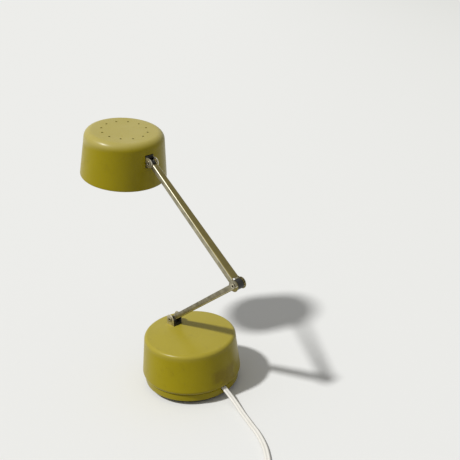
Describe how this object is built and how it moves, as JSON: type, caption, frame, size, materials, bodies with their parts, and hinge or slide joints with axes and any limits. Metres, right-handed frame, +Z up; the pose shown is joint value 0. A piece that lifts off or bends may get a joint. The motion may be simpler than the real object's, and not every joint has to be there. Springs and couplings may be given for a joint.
{
  "type": "folding desk lamp",
  "caption": "Folding low-voltage desk lamp: olive drum base, two nickel channel arms on riveted hinges, olive drum shade, ivory flat flex with plug.",
  "frame": {"origin": "Centre of the foot pad's flat underside, on the table top.", "axes": "+Z is up, out of the table. +X runs from the base's centre towards the elbow and the cord exit; the hinge axes lie along Y."},
  "size_m": [0.42, 0.1539, 0.268],
  "materials": {
    "olive_paint": "semi-gloss olive enamel on pressed steel",
    "rubber": "matt",
    "zinc_steel": "zinc-plated steel",
    "black_plastic": "moulded black",
    "lead_sleeve": "black vinyl sleeve on the low-voltage lead",
    "ivory_plastic": "moulded ivory nylon",
    "brass": "plain",
    "core_steel": "stacked laminations, varnished",
    "copper_wire": "enamelled copper wire",
    "nickel_plate": "aged dull nickel",
    "white_enamel": "white enamel",
    "ceramic": "white steatite ceramic",
    "clear_glass": "clear blown glass",
    "tungsten": "drawn tungsten wire",
    "ivory_flex": "ivory vinyl flex and plug"
  },
  "bodies": {
    "base": {"base_shell": "olive_paint", "base_pan": "olive_paint", "foot_pad": "rubber", "shell_bracket_1": "zinc_steel", "shell_bracket_2": "zinc_steel", "shell_bracket_3": "zinc_steel", "pan_screw_1": "zinc_steel", "pan_screw_2": "zinc_steel", "pan_screw_3": "zinc_steel", "switch_housing": "black_plastic", "switch_terminal_1": "brass", "switch_terminal_2": "brass", "transformer_core": "core_steel", "transformer_bobbin": "ivory_plastic", "primary_winding": "copper_wire", "secondary_winding": "copper_wire", "transformer_strap": "zinc_steel", "transformer_screw_1": "zinc_steel", "transformer_screw_2": "zinc_steel", "terminal_block": "ivory_plastic", "cord_clamp": "ivory_plastic", "clamp_screw_1": "zinc_steel", "clamp_screw_2": "zinc_steel", "base_fork": "nickel_plate", "hinge_cradle": "black_plastic", "base_rivet": "nickel_plate", "base_spring_washer": "zinc_steel", "fork_screw": "zinc_steel", "mains_cord": "ivory_flex", "cord_coil": "ivory_flex", "cord_tie": "black_plastic", "plug_body": "ivory_flex", "plug_blade_1": "nickel_plate", "plug_blade_2": "nickel_plate"},
    "switch_rocker": {"switch_rocker": "ivory_plastic"},
    "lower_arm": {"lower_arm": "nickel_plate", "lower_arm_lead": "lead_sleeve", "base_bush": "black_plastic", "elbow_rivet": "nickel_plate", "elbow_spring_washer": "zinc_steel"},
    "upper_arm": {"upper_arm": "nickel_plate", "upper_arm_lead": "lead_sleeve", "elbow_bush": "black_plastic", "head_bush": "black_plastic"},
    "head": {"head_bracket": "nickel_plate", "head_insulator": "black_plastic", "head_rivet": "nickel_plate", "head_spring_washer": "zinc_steel", "head_shade": "olive_paint", "head_reflector": "white_enamel", "lamp_holder": "ceramic", "holder_contact": "brass", "bulb_cap": "brass", "bulb_glass": "clear_glass", "bulb_filament": "tungsten"}
  },
  "joints": [
    {"name": "base_hinge", "type": "hinge", "parent": "base", "child": "lower_arm", "pos_m": [-0.0252, 0, 0.065], "axis": [0, -1, 0], "range_deg": [-36, 50]},
    {"name": "elbow_hinge", "type": "hinge", "parent": "lower_arm", "child": "upper_arm", "pos_m": [0.07531, 0, 0.14033], "axis": [0, 1, 0], "range_deg": [-45, 100]},
    {"name": "head_tilt", "type": "hinge", "parent": "upper_arm", "child": "head", "pos_m": [-0.04483, 0, 0.23555], "axis": [0, 1, 0], "range_deg": [-15, 85]},
    {"name": "switch_hinge", "type": "hinge", "parent": "base", "child": "switch_rocker", "pos_m": [-0.04809, 0, 0.03469], "axis": [0, 1, 0], "range_deg": [0, 20]}
  ]
}
